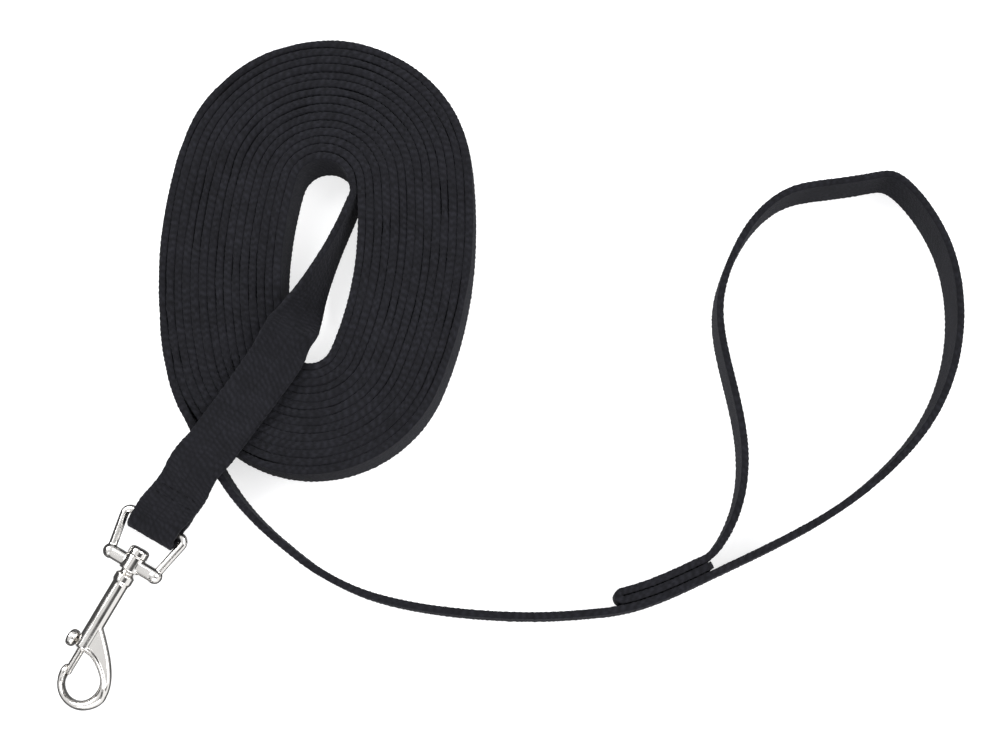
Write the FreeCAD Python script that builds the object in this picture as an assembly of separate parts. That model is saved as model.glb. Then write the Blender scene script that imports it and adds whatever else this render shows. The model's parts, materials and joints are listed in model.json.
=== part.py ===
import FreeCAD, Part
import math
import os

# Training leash, coiled for storage. Millimetres, +Z up.
# The origin is the middle of the coil, on the surface that the coil stands on.
# The webbing is one strip on the real leash. It stands on edge in the coil, the lead and the
# handle, and it lies flat where it crosses the coil to the snap.

V = FreeCAD.Vector
UP = V(0, 0, 1)
SAMPLE_STEP = 1.5
SPLICE_STEP = 4.0
CROSSING_STEP = 2.5
RUN_IN = 1.5

# Webbing
WEB_WIDTH = 15.9
WEB_THICK = 2.3
LAYER_GAP = 0.15
BEND_GAP = 1.2
LIFT_GAP = 1.8

# Coil: an oval of six arcs, wound inwards clockwise, seen from above. Each end has its own reach
# from the widest place and its own radius
COIL_CENTRE = (0.5, 2.05)
COIL_HALF_WIDTH = 48.1
COIL_FAR_REACH = 67.55
COIL_FAR_RADIUS = 46.3
COIL_NEAR_REACH = 71.35
COIL_NEAR_RADIUS = 43.7
COIL_PITCH = 2.5
COIL_FULL_TURNS = 14
COIL_LEAN = -4.1
COIL_INNER_END = 2.0

# Lead, from the handle to the coil, as centreline points
LEAD_MID = [(66.7, -108.1), (49.3, -107.5), (27.5, -104.6), (14.3, -100.9)]
LEAD_BEND = (4.0, -95.9)
LEAD_END = [(-3.6, -90.8), (-12.7, -83.4), (-21.9, -73.9), (-29.0, -63.9), (-35.3, -53.0)]

# Handle, as centreline points: along the splice, round the loop and back to the splice
HANDLE_BEND = (80.0, -107.4)
SPLICE_LINE = [(90.8, -106.1), (97.4, -104.3), (106.0, -101.0), (112.0, -98.3), (117.0, -95.95)]
LOOP_LINE = [
    (127.7, -91.0), (140.9, -84.5), (154.3, -76.7), (169.9, -64.2),
    (181.7, -50.0), (188.2, -35.6), (191.1, -17.5), (188.5, 1.5), (182.5, 14.0),
    (177.6, 20.2), (173.6, 22.9), (168.1, 22.6), (154.4, 20.6), (143.0, 18.3),
    (133.4, 11.4), (124.6, -2.6), (120.6, -16.6), (121.7, -31.4), (125.3, -49.7),
    (126.2, -66.0), (123.6, -78.2), (119.0, -87.2),
]
STITCH_PITCH = 2.6
STITCH_LENGTH = 2.0
THREAD = 0.5
THREAD_PROUD = 0.3
STITCH_EDGE = 3.0

# Crossing, from the coil's inner end to its rim: x, y, z, and the turn from on edge (0) to flat (90)
CROSSING = [
    (10.0, 17.5, 7.98, 0.0), (7.6, 11.4, 8.1, 0.0), (3.9, 2.6, 8.4, 3.0), (0.5, -5.6, 9.5, 11.0),
    (-2.5, -13.4, 11.6, 23.0), (-4.9, -20.8, 15.6, 40.0), (-7.1, -26.8, 20.2, 58.0),
    (-10.2, -32.9, 19.3, 79.0), (-15.0, -39.7, 18.2, 85.0), (-20.6, -47.4, 17.3, 90.0),
    (-26.0, -55.0, 17.2, 90.0),
]

# Snap end: the strap runs down from the rim, round the eye's bar, and back underneath
BAR = V(-47.5, -80.0, 3.9)
SNAP_HEADING = 240.5
SNAP_TILT = 1.5
STRAP_HEIGHT = 17.2
STRAP_SKEW = 12.5
SKEW_EASE = 4.0
FOLD_ASIDE = 0.3
RAMP_DRIFT = 1.1
LIFT_AT = 24.0
RAMP_TOP = 20.7
RAMP_FOOT = 0.5
RAMP_EASE = 0.15
FOLD_AT = 1.2
FOLD_RADIUS = 2.7
TAIL_LENGTH = 13.0
TAIL_CLOSES = 8.0
STITCH_ROWS = (-8.8, -11.6)
RAMP_STEPS = 14
FOLD_STEPS = 10
TAIL_STEPS = 8

# Swivel eye, in the snap's own axes: X away from the strap, Y across, Z up
EYE_WIRE = 1.3
EYE_HALF_WIDTH = 10.55
EYE_TAPER = 11.4
EYE_CORNER = 1.8
EYE_BASE_NEAR = 11.7
EYE_BASE_FAR = 15.7
EYE_BASE_HALF = 8.0
EYE_BASE_HEIGHT = 4.2
EYE_BASE_ROUND = 1.5
EYE_KNUCKLE_RADIUS = 2.3
EYE_BOSS_RADIUS = 3.0
EYE_BOSS_PROUD = 0.4

# Rivet that the snap swivels on
RIVET_HEAD_RADIUS = 3.1
RIVET_HEAD_HEIGHT = 2.6
RIVET_HEAD_ROUND = 1.2
RIVET_RADIUS = 1.5
RIVET_END = 20.0
RUNNING_GAP = 0.08

# Snap body
NECK_NEAR = 16.18
NECK_RADIUS = 2.0
HEAD_NEAR = 17.0
HEAD_RADIUS = 2.9
HEAD_ROUND = 0.8
SHANK_NEAR = 20.6
SHANK_RADIUS = 2.45
SHANK_END = 42.3
SHANK_CHAMFER = 0.6
RING_INNER = (50.5, 5.4, 5.1)
RING_OUTER = (50.0, 6.1, 8.1)
RING_HEIGHT = 4.0
RING_ANGLES = (78, 50, 20, -10, -40, -70, -100, -106)
TIP_SHRINK = 0.7
RIB_LINE = [(46.6, 10.6), (44.4, 8.3), (42.7, 5.6), (41.8, 2.4), (41.4, -0.9)]
RIB_WIDTH = 1.9
RIB_HEIGHT = 4.3
FLARE = [(33.4, 1.6), (36.9, 5.4), (40.3, 8.7), (43.6, 11.3), (46.7, 13.0), (49.2, 13.75), (51.4, 13.85)]
FLARE_FOOT = (51.4, 12.2)
FLARE_HEIGHT = 3.0
FLARE_ROUND = 1.2

# Latch
BOLT_RADIUS = 1.1
BOLT_NEAR = 31.0
BOLT_END = 50.5
BOLT_CHAMFER = 0.4
TIP_CUP_END = 51.0
LATCH_TRAVEL = 7.0
KNOB_AT = 40.8
KNOB_RADIUS = 2.6
KNOB_NEAR = 2.7
KNOB_FAR = 5.3
KNOB_ROUND = 1.0
STEM_RADIUS = 0.7
STEM_DEPTH = 0.4
SPRING_WIRE = 0.17
SPRING_RADIUS = 0.85
SPRING_TURNS = 9
SPRING_CLEAR = 0.1


# ---------------------------------------------------------------- helpers

def flat(point, z=0.0):
    """A point on the ground plan, at height z."""
    return V(point[0], point[1], z)


def spline(points, start=None, end=None):
    """A smooth curve through the points, set off and brought in along the directions given."""
    points = list(points)
    if start is not None:
        points.insert(1, points[0] + start * RUN_IN)
    if end is not None:
        points.insert(-1, points[-1] - end * RUN_IN)
    curve = Part.BSplineCurve()
    curve.interpolate(Points=points)
    return curve


def along_curve(curve, spacing):
    """Even steps along a curve, ends included: (point, direction)."""
    first, last = curve.FirstParameter, curve.LastParameter
    count = math.ceil(curve.length() / spacing)
    steps = [first + (last - first) * i / count for i in range(count + 1)]
    return [(curve.value(at), curve.tangent(at)[0]) for at in steps]


def web_edges(points, start, end):
    """The two edges, left and right, of webbing on edge along one smooth line."""
    steps = along_curve(spline(points, start, end), SAMPLE_STEP)
    directions = [start, *[along for _, along in steps[1:-1]], end]
    sides = [UP.cross(along) * (WEB_THICK / 2) for along in directions]
    left = [at + side for (at, _), side in zip(steps, sides)]
    right = [at - side for (at, _), side in zip(steps, sides)]
    return spline(left), spline(right)


def on_edge(left, right):
    """Webbing that stands on edge between two rows of edges, from its near end to its far end."""
    near = Part.LineSegment(right[0].StartPoint, left[0].StartPoint).toShape()
    far = Part.LineSegment(left[-1].EndPoint, right[-1].EndPoint).toShape()
    edges = [near, *[c.toShape() for c in left], far, *[c.toShape() for c in reversed(right)]]
    return Part.Face(Part.Wire(edges)).extrude(UP * WEB_WIDTH)


def section(centre, across, normal, width=WEB_WIDTH, thick=WEB_THICK):
    """A rectangular cut through the webbing, as a closed wire."""
    a = across * (width / 2)
    n = normal * (thick / 2)
    corners = [centre - a - n, centre + a - n, centre + a + n, centre - a + n, centre - a - n]
    return Part.makePolygon(corners)


def smoothstep(t):
    t = max(0.0, min(1.0, t))
    return t * t * (3 - 2 * t)


def between(places, values, place):
    """The value at a place, on straight lines between the values given at the places."""
    for i in range(1, len(places)):
        if place <= places[i] or i == len(places) - 1:
            share = (place - places[i - 1]) / (places[i] - places[i - 1])
            return values[i - 1] + (values[i] - values[i - 1]) * share


def snap_place():
    """Puts a shape that is drawn in the snap's own axes on the bar, nose slightly down."""
    turn = FreeCAD.Rotation(UP, SNAP_HEADING)
    dip = FreeCAD.Rotation(V(0, 1, 0), SNAP_TILT)
    return FreeCAD.Placement(BAR, turn.multiply(dip))


def snap_ground():
    """The snap's heading with no tilt, for the webbing that lies under and over the bar."""
    return FreeCAD.Placement(BAR, FreeCAD.Rotation(UP, SNAP_HEADING))


def rod(radius, near, far):
    """A round rod along the snap's own axis."""
    return Part.makeCylinder(radius, far - near, V(near, 0, 0), V(1, 0, 0))


def turned(profile):
    """A solid turned about the snap's own axis from (along, radius) points."""
    points = [V(x, r, 0) for x, r in profile]
    outline = Part.makePolygon([*points, points[0]])
    return Part.Face(outline).revolve(V(0, 0, 0), V(1, 0, 0), 360)


# ---------------------------------------------------------------- webbing

def direction(degrees):
    return V(math.cos(math.radians(degrees)), math.sin(math.radians(degrees)), 0)


def heading(start, end):
    """The direction from one plan point to another."""
    return (flat(end) - flat(start)).normalize()


def oval_side(reach, end_radius):
    """The side arc that runs into an end arc: (distance of its centre, angle where they meet)."""
    half = reach - end_radius
    bulge = COIL_HALF_WIDTH - end_radius
    shift = (half ** 2 - bulge ** 2) / (2 * bulge)
    return shift, math.degrees(math.atan2(half, shift))


def coil_arcs():
    """The coil's centreline from the rim inwards: (centre, radius, start angle, end angle)."""
    far_shift, far_corner = oval_side(COIL_FAR_REACH, COIL_FAR_RADIUS)
    near_shift, near_corner = oval_side(COIL_NEAR_REACH, COIL_NEAR_RADIUS)
    near_side = COIL_HALF_WIDTH + near_shift
    far_side = COIL_HALF_WIDTH + far_shift
    oval = [
        (near_side, 180 + near_corner, 180),
        (far_side, 180, 180 - far_corner),
        (COIL_FAR_RADIUS, 180 - far_corner, far_corner),
        (far_side, far_corner, 0),
        (near_side, 0, -near_corner),
        (COIL_NEAR_RADIUS, -near_corner, -180 + near_corner),
    ]
    sides = len(oval)
    count = sides * COIL_FULL_TURNS + sides // 2
    centre = flat(COIL_CENTRE) + direction(COIL_LEAN) * near_shift
    arcs = []
    for k in range(count):
        rim_radius, start, end = oval[k % sides]
        radius = rim_radius - WEB_THICK / 2 - k * COIL_PITCH / sides
        start += COIL_LEAN
        end += COIL_LEAN
        if k == count - 1:
            end = COIL_INNER_END
        if arcs:
            # neighbouring arcs share a tangent, so both centres lie on one line through the joint
            centre = joint - direction(start) * radius
        arcs.append((centre, radius, start, end))
        joint = centre + direction(end) * radius
    return arcs


def arc_edge(centre, radius, start, end):
    middle = (start + end) / 2
    return Part.Arc(*[centre + direction(a) * radius for a in (start, middle, end)])


def web_coil():
    """The spiral, with the first stretch of the lead that leaves its rim."""
    arcs = coil_arcs()
    centre, radius, start, _ = arcs[0]
    rim = centre + direction(start) * radius
    along = heading(LEAD_MID[-1], LEAD_END[0])
    begin = flat(LEAD_BEND) + along * (BEND_GAP / 2)
    points = [begin, *[flat(p) for p in LEAD_END], rim]
    left, right = web_edges(points, along, direction(start).cross(UP))
    outer = [left]
    inner = [right]
    for centre, radius, start, end in arcs:
        outer.append(arc_edge(centre, radius + WEB_THICK / 2, start, end))
        inner.append(arc_edge(centre, radius - WEB_THICK / 2, start, end))
    return on_edge(outer, inner)


def web_lead_run():
    """The lead between its two bends, from the handle to the coil."""
    start = heading(SPLICE_LINE[0], LEAD_MID[0])
    end = heading(LEAD_MID[-1], LEAD_END[0])
    first = flat(HANDLE_BEND) + start * (BEND_GAP / 2)
    last = flat(LEAD_BEND) - end * (BEND_GAP / 2)
    left, right = web_edges([first, *[flat(p) for p in LEAD_MID], last], start, end)
    return on_edge([left], [right])


def splice_layer(number):
    """The splice's centreline in one layer: 0 is the lead, 1 the hem, 2 the handle's end."""
    reach = number * (WEB_THICK + LAYER_GAP)
    middle = spline([flat(point) for point in SPLICE_LINE])
    return [(at + UP.cross(along) * reach, along) for at, along in along_curve(middle, SPLICE_STEP)]


def web_handle():
    """The hand loop: out along the lead, round, back beside it, and hemmed under at the nose."""
    start = heading(LEAD_MID[0], SPLICE_LINE[0])
    first = flat(HANDLE_BEND) + start * (BEND_GAP / 2)
    lead, hem, back = [splice_layer(number) for number in (0, 1, 2)]
    out = [at for at, _ in lead]
    home = [at for at, _ in reversed(back)]
    _, along = hem[0]
    line = [first, *out, *[flat(point) for point in LOOP_LINE], *home]
    loop_left, loop_right = web_edges(line, start, along * -1)
    nose = (hem[0][0] + back[0][0]) / 2
    side = UP.cross(along)
    turn = math.degrees(math.atan2(side.y, side.x))
    nose_left = arc_edge(nose, LAYER_GAP / 2, turn, turn + 180)
    nose_right = arc_edge(nose, LAYER_GAP / 2 + WEB_THICK, turn, turn + 180)
    hem_left, hem_right = web_edges([at for at, _ in hem], along, hem[-1][1])
    return on_edge([loop_left, nose_left, hem_left], [loop_right, nose_right, hem_right])


def web_snap_run():
    """The inner end of the coil: it leaves the hole, turns flat and crosses the coil to its rim."""
    centre, radius, _, end = coil_arcs()[-1]
    inner_direction = direction(end)
    inner = centre + inner_direction * radius
    lift = lift_point()
    last = lift - strap_heading() * (LIFT_GAP / 2)
    stations = [(inner.x, inner.y, WEB_WIDTH / 2, 0.0), *CROSSING, (last.x, last.y, last.z, 90.0)]
    points = [V(x, y, z) for x, y, z, _ in stations]
    start = inner_direction.cross(UP)
    line = spline(points, start, strap_heading())
    places = [line.parameter(point) for point in points]
    wires = [section(points[0], UP * -1, start.cross(UP * -1))]
    for at, along in along_curve(line, CROSSING_STEP)[1:-1]:
        turn = math.radians(between(places, [station[3] for station in stations], line.parameter(at)))
        side = UP.cross(along).normalize()
        across = side * math.sin(turn) - UP * math.cos(turn)
        wires.append(section(at, across, along.cross(across).normalize()))
    across = snap_ground().Rotation.multVec(V(0, 1, 0))
    wires.append(section(last, across, UP, strap_width(-LIFT_AT)))
    return Part.makeLoft(wires, True, True)


def strap_heading():
    """The flat strap's direction towards the snap, beside the rim."""
    return direction(SNAP_HEADING - STRAP_SKEW)


def strap_line():
    """The strap's centreline from the rim round the bar, as (along, height) from the bar."""
    high = STRAP_HEIGHT - BAR.z
    near = LIFT_AT - LIFT_GAP / 2
    points = []
    for i in range(RAMP_STEPS + 1):
        x = -near + (near + FOLD_AT) * i / RAMP_STEPS
        points.append(main_point(x, high))
    for i in range(1, FOLD_STEPS):
        angle = math.pi / 2 - math.pi * i / FOLD_STEPS
        points.append((FOLD_AT + FOLD_RADIUS * math.cos(angle), FOLD_RADIUS * math.sin(angle)))
    for i in range(TAIL_STEPS + 1):
        x = FOLD_AT - (TAIL_LENGTH + FOLD_AT) * i / TAIL_STEPS
        points.append(tail_point(x, high))
    return points


def climb(share):
    """A straight climb from 0 to 1 with its two ends eased."""
    share = max(0.0, min(1.0, share))
    if share > 0.5:
        return 1 - climb(1 - share)
    if share < RAMP_EASE:
        return share ** 2 / (2 * RAMP_EASE * (1 - RAMP_EASE))
    return (share - RAMP_EASE / 2) / (1 - RAMP_EASE)


def main_point(x, high):
    """The upper layer's height over the ramp."""
    share = climb((-x - RAMP_FOOT) / (RAMP_TOP - RAMP_FOOT))
    return x, FOLD_RADIUS + (high - FOLD_RADIUS) * share


def tail_point(x, high):
    """The tail under the upper layer: it closes up to it behind the bar."""
    step = 0.01
    ahead = main_point(x + step, high)
    behind = main_point(x - step, high)
    slope = math.atan2(ahead[1] - behind[1], 2 * step)
    closed = WEB_THICK + LAYER_GAP
    drop = 2 * FOLD_RADIUS + (closed - 2 * FOLD_RADIUS) * smoothstep(-x / TAIL_CLOSES)
    top = main_point(x, high)
    return top[0] + drop * math.sin(slope), top[1] - drop * math.cos(slope)


def strap_aside(x):
    """How far the strap has drifted sideways behind the bar, because it meets the bar askew."""
    behind = max(0.0, -x)
    eased = min(behind, SKEW_EASE)
    run = eased ** 2 / (2 * SKEW_EASE) + behind - eased
    drift = RAMP_DRIFT * math.sin(math.pi * min(1.0, behind / LIFT_AT)) ** 2
    return FOLD_ASIDE + run * math.tan(math.radians(STRAP_SKEW)) + drift


def strap_width(x):
    """The strap's width measured along the bar: more where the strap runs askew."""
    skew = math.radians(STRAP_SKEW) * min(1.0, max(0.0, -x) / SKEW_EASE)
    return WEB_WIDTH / math.cos(skew)


def strap_sections():
    """The strap's cuts along its line: (centre, normal, width)."""
    points = strap_line()
    cuts = []
    for i, (x, z) in enumerate(points):
        a = points[max(i - 1, 0)]
        b = points[min(i + 1, len(points) - 1)]
        along = V(b[0] - a[0], 0, b[1] - a[1]).normalize()
        cuts.append((V(x, strap_aside(x), z), V(0, 1, 0).cross(along), strap_width(x)))
    return cuts


def web_snap_end():
    """The strap from the rim down to the bar, round it and back under as a sewn tail."""
    wires = [section(at, V(0, 1, 0), normal, width) for at, normal, width in strap_sections()]
    return Part.makeLoft(wires, True, True).transformGeometry(snap_ground().toMatrix())


def lift_point():
    """The middle of the strap where it bends up off the coil."""
    return snap_ground().multVec(V(-LIFT_AT, strap_aside(-LIFT_AT), STRAP_HEIGHT - BAR.z))


# ---------------------------------------------------------------- stitching

def thread_loop(centre, along, through, depth):
    """One lock stitch: a flat loop of thread round all the layers of webbing."""
    across = along.cross(through).normalize()
    height = depth + 2 * THREAD_PROUD
    outer = Part.Face(section(centre, along, through, STITCH_LENGTH, height))
    inner = section(centre, along, through, STITCH_LENGTH - 2 * THREAD, height - 2 * THREAD)
    ring = outer.cut(Part.Face(inner))
    ring.translate(across * (-THREAD / 2))
    return ring.Faces[0].extrude(across * THREAD)


def handle_stitching():
    """A box of stitches through the splice's three layers."""
    line = spline([at for at, _ in splice_layer(1)])
    depth = 3 * WEB_THICK + 2 * LAYER_GAP
    count = int((line.length() - 2 * STITCH_EDGE) / STITCH_PITCH)
    loops = []
    for i in range(count + 1):
        at = line.parameterAtDistance(STITCH_EDGE + i * STITCH_PITCH, line.FirstParameter)
        along = line.tangent(at)[0]
        side = UP.cross(along)
        for z in (STITCH_EDGE, WEB_WIDTH - STITCH_EDGE):
            loops.append(thread_loop(line.value(at) + UP * z, along, side, depth))
        if i in (0, count):
            for k in (-1, 0, 1):
                middle = line.value(at) + UP * (WEB_WIDTH / 2 + k * STITCH_PITCH)
                loops.append(thread_loop(middle, UP, side, depth))
    return Part.makeCompound(loops)


def snap_end_stitching():
    """Two rows of stitches across the strap, through it and its tail."""
    high = STRAP_HEIGHT - BAR.z
    depth = 2 * WEB_THICK + LAYER_GAP
    loops = []
    for x in STITCH_ROWS:
        top = V(main_point(x, high)[0], 0, main_point(x, high)[1])
        low = V(tail_point(x, high)[0], 0, tail_point(x, high)[1])
        through = (top - low).normalize()
        for k in (-2, -1, 0, 1, 2):
            middle = (top + low) / 2 + V(0, strap_aside(x) + k * STITCH_PITCH, 0)
            loops.append(thread_loop(middle, V(0, 1, 0), through, depth))
    group = Part.makeCompound(loops)
    group.Placement = snap_ground()
    return group


# ---------------------------------------------------------------- snap

def mirrored(point):
    """The same point on the other side of the snap's own axis."""
    return V(point.x, -point.y, point.z)


def eye_wire(arm_end, down):
    """The round wire from one arm's end round the bar to the other's."""
    corner = V(0, EYE_HALF_WIDTH, 0)
    reach = EYE_CORNER * math.tan(math.radians(90 + EYE_TAPER) / 2)
    bar_end = corner - V(0, reach, 0)
    arm_start = corner + down * reach
    bend = bar_end + V(EYE_CORNER, 0, 0)
    bulge = bend + (corner - bend).normalize() * EYE_CORNER
    path = Part.Wire([
        Part.makeLine(mirrored(arm_end), mirrored(arm_start)),
        Part.Arc(mirrored(arm_start), mirrored(bulge), mirrored(bar_end)).toShape(),
        Part.makeLine(mirrored(bar_end), bar_end),
        Part.Arc(bar_end, bulge, arm_start).toShape(),
        Part.makeLine(arm_start, arm_end),
    ])
    ring = Part.Wire(Part.makeCircle(EYE_WIRE, mirrored(arm_end), mirrored(down)))
    return path.makePipeShell([ring], True, False)


def swivel_eye():
    """The D-shaped eye: a bar for the strap, two arms, and a base that the rivet turns in."""
    down = mirrored(direction(EYE_TAPER))
    depth = EYE_BASE_FAR - EYE_BASE_NEAR
    arm_end = V(0, EYE_HALF_WIDTH, 0) + down * ((EYE_BASE_NEAR + depth / 2) / down.x)
    knuckles = [Part.makeSphere(EYE_KNUCKLE_RADIUS, at) for at in (arm_end, mirrored(arm_end))]
    low = V(EYE_BASE_NEAR, -EYE_BASE_HALF, -EYE_BASE_HEIGHT / 2)
    base = Part.makeBox(depth, 2 * EYE_BASE_HALF, EYE_BASE_HEIGHT, low)
    base = base.makeFillet(EYE_BASE_ROUND, base.Edges)
    boss = rod(EYE_BOSS_RADIUS, EYE_BASE_NEAR - EYE_BOSS_PROUD, EYE_BASE_FAR + EYE_BOSS_PROUD)
    hole = rod(RIVET_RADIUS + RUNNING_GAP, EYE_BASE_NEAR - depth, EYE_BASE_FAR + depth)
    return eye_wire(arm_end, down).fuse([*knuckles, base, boss]).removeSplitter().cut(hole)


def swivel_rivet():
    """A button head inside the eye, and a stem pressed into the snap's shank."""
    back = EYE_BASE_NEAR - EYE_BOSS_PROUD - RUNNING_GAP
    front = back - RIVET_HEAD_HEIGHT
    head = rod(RIVET_HEAD_RADIUS, front, back)
    rim = [edge for edge in head.Edges if edge.BoundBox.XMax < (front + back) / 2]
    head = head.makeFillet(RIVET_HEAD_ROUND, rim)
    return head.fuse(rod(RIVET_RADIUS, front + RIVET_HEAD_ROUND, RIVET_END)).removeSplitter()


def ring_section(centre, wide, width, height):
    """An oval cut through the hook, across its line."""
    points = []
    for degrees in range(0, 360, 30):
        at = direction(degrees)
        points.append(centre + wide * (width / 2 * at.x) + UP * (height / 2 * at.y))
    curve = Part.BSplineCurve()
    curve.interpolate(Points=points, PeriodicFlag=True)
    return Part.Wire(curve.toShape())


def hook_ring():
    """The hook from the rib over its mouth, round to the tip."""
    rib = spline([flat(p) for p in reversed(RIB_LINE)])
    cuts = []
    for point in reversed(RIB_LINE):
        along = rib.tangent(rib.parameter(flat(point)))[0]
        cuts.append(ring_section(flat(point), UP.cross(along), RIB_WIDTH, RIB_HEIGHT))
    for angle in RING_ANGLES:
        inner = flat(RING_INNER) + direction(angle) * RING_INNER[2]
        outer = flat(RING_OUTER) + direction(angle) * RING_OUTER[2]
        width = (outer - inner).Length
        shrink = TIP_SHRINK if angle == RING_ANGLES[-1] else 1.0
        wide = (outer - inner).normalize()
        cuts.append(ring_section((inner + outer) / 2, wide, width * shrink, RING_HEIGHT * shrink))
    return Part.makeLoft(cuts, True, False)


def snap_body():
    """Swivelling shank with its bore, the flared plate and the hook, cast in one piece."""
    shank = turned([
        (NECK_NEAR, 0), (NECK_NEAR, NECK_RADIUS), (HEAD_NEAR, NECK_RADIUS),
        (HEAD_NEAR + HEAD_ROUND, HEAD_RADIUS), (SHANK_NEAR - HEAD_ROUND, HEAD_RADIUS),
        (SHANK_NEAR, SHANK_RADIUS), (SHANK_END - SHANK_CHAMFER, SHANK_RADIUS),
        (SHANK_END, SHANK_RADIUS - SHANK_CHAMFER), (SHANK_END, 0),
    ])
    outer = spline([flat(p) for p in FLARE])
    rib = spline([flat(p) for p in RIB_LINE])
    back = V(FLARE[0][0], RIB_LINE[-1][1], 0)
    outline = Part.Wire([
        outer.toShape(),
        Part.makeLine(flat(FLARE[-1]), flat(FLARE_FOOT)),
        Part.makeLine(flat(FLARE_FOOT), flat(RIB_LINE[0])),
        rib.toShape(),
        Part.makeLine(flat(RIB_LINE[-1]), back),
        Part.makeLine(back, flat(FLARE[0])),
    ])
    flare = Part.Face(outline).extrude(UP * FLARE_HEIGHT)
    flare.translate(UP * (-FLARE_HEIGHT / 2))
    rim = [edge for edge in flare.Edges if math.isclose(edge.Length, outer.length(), rel_tol=1e-6)]
    flare = flare.makeFillet(FLARE_ROUND, rim)
    body = shank.fuse([hook_ring(), flare])
    bore = rod(BOLT_RADIUS + RUNNING_GAP, RIVET_END, TIP_CUP_END)
    socket = rod(RIVET_RADIUS, NECK_NEAR - 1, RIVET_END)
    slot_half = STEM_RADIUS + RUNNING_GAP
    slot_near = KNOB_AT - LATCH_TRAVEL - slot_half
    slot = Part.makeBox(LATCH_TRAVEL + 2 * slot_half, SHANK_RADIUS + 1, 2 * slot_half,
                        V(slot_near, -SHANK_RADIUS - 1, -slot_half))
    return body.cut([bore, socket, slot])


def latch_bolt():
    """The sliding bolt that closes the mouth, with a cross hole for the knob's stem."""
    bolt = turned([
        (BOLT_NEAR, 0), (BOLT_NEAR, BOLT_RADIUS), (BOLT_END - BOLT_CHAMFER, BOLT_RADIUS),
        (BOLT_END, BOLT_RADIUS - BOLT_CHAMFER), (BOLT_END, 0),
    ])
    return bolt.cut(knob_stem())


def knob_stem():
    """The stem, from inside the bolt out into the knob."""
    length = STEM_DEPTH + (KNOB_NEAR + KNOB_FAR) / 2
    return Part.makeCylinder(STEM_RADIUS, length, V(KNOB_AT, STEM_DEPTH, 0), V(0, -1, 0))


def thumb_knob():
    """The knob that a thumb draws back, and its stem."""
    disc = Part.makeCylinder(KNOB_RADIUS, KNOB_FAR - KNOB_NEAR, V(KNOB_AT, -KNOB_NEAR, 0), V(0, -1, 0))
    rims = [edge for edge in disc.Edges if len(edge.Vertexes) == 1]
    return disc.makeFillet(KNOB_ROUND, rims).fuse(knob_stem()).removeSplitter()


def latch_spring():
    """The compression spring between the rivet's end and the bolt."""
    clear = SPRING_CLEAR + SPRING_WIRE
    near = RIVET_END + clear
    length = BOLT_NEAR - clear - near
    helix = Part.makeHelix(length / SPRING_TURNS, length, SPRING_RADIUS)
    start = V(SPRING_RADIUS, 0, 0)
    ring = Part.Wire(Part.makeCircle(SPRING_WIRE, start, V(0, 1, 0)))
    spring = Part.Wire(helix.Edges).makePipeShell([ring], True, True)
    spring.Placement = FreeCAD.Placement(V(near, 0, 0), FreeCAD.Rotation(V(0, 1, 0), 90))
    return spring


def main():
    webbing = [web_coil, web_snap_run, web_snap_end, web_lead_run, web_handle]
    stitching = [handle_stitching, snap_end_stitching]
    snap = [swivel_eye, swivel_rivet, snap_body, latch_bolt, thumb_knob, latch_spring]
    os.makedirs("parts", exist_ok=True)
    for make in [*webbing, *stitching, *snap]:
        shape = make()
        if make in snap:
            shape.Placement = snap_place().multiply(shape.Placement)
        shape.exportStep(f"parts/{make.__name__}.step")


main()
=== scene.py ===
import copy
import json
import math

import bpy
import numpy as np
from mathutils import Matrix, Vector


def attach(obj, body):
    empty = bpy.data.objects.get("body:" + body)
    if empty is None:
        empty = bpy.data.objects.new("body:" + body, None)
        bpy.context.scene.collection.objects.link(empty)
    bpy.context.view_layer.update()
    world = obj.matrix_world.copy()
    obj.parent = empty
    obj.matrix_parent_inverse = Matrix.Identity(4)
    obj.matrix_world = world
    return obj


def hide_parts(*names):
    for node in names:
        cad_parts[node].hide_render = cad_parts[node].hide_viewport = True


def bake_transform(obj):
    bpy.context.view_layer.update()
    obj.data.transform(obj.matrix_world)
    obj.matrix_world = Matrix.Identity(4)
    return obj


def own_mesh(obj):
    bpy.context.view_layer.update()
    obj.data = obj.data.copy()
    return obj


# The looks of the training leash: black woven cotton webbing, its sewing, and a bright nickel
# swivel snap. Metres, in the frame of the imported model. The standing webbing follows the model's
# own solids, and the snap end starts from the model's joints, so both sit on the frame.

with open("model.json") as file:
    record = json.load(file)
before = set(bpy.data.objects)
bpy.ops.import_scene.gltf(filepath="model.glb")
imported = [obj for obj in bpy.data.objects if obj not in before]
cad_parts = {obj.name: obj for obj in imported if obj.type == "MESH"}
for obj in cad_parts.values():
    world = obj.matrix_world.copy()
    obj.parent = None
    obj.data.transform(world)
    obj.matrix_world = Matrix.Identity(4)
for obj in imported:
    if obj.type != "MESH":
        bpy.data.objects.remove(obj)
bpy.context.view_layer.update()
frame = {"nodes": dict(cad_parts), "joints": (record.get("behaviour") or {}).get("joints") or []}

MM = 0.001
UP = np.array([0.0, 0.0, 1.0])

# Webbing: its size, and how far in from each side its rounded edge, the selvedge, reaches
WEB_WIDTH = 15.9 * MM
WEB_THICK = 2.3 * MM
SELVEDGE = 0.7 * MM

# Weave: the pitch of the floats on the faces and of the loops on the edges, and how far they wander
PICK = 1.6 * MM
EDGE_PICK = 2.3 * MM
COLUMNS = 10
TWILL = 1 / 3
WEAVE_DRIFT = 1.3
WEAVE_SLANT = 0.45
RELIEF = 0.22 * MM
EDGE_RELIEF = 0.2 * MM

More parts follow.
